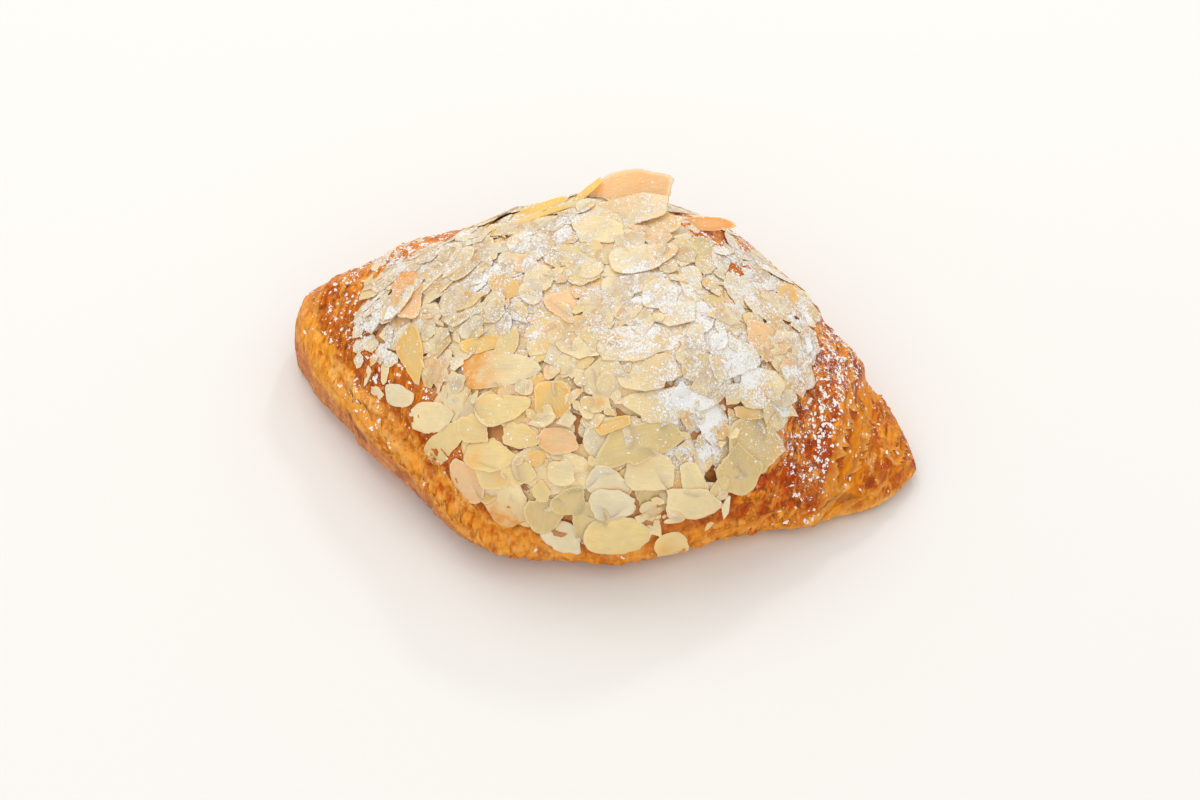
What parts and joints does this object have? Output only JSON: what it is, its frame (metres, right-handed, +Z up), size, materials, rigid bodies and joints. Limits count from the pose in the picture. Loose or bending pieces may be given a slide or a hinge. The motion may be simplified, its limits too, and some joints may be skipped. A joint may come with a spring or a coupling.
{
  "type": "almond croissant",
  "caption": "Baked almond croissant: a rolled, split pastry with stepped layers and a standing lower rim, its top and near slope under a heap of sliced almonds, for a plate or counter",
  "frame": {"origin": "middle of the bounding box's underside, on the surface that the croissant rests on", "axes": "+X runs along the croissant towards its folded tip, -Y is the near side with the standing rim, +Z is up"},
  "size_m": [0.156, 0.1016, 0.0508],
  "materials": {
    "crust": "satin",
    "almond": "matte",
    "sugar": "matte"
  },
  "bodies": {
    "root": {"croissant": "crust"}
  },
  "joints": []
}
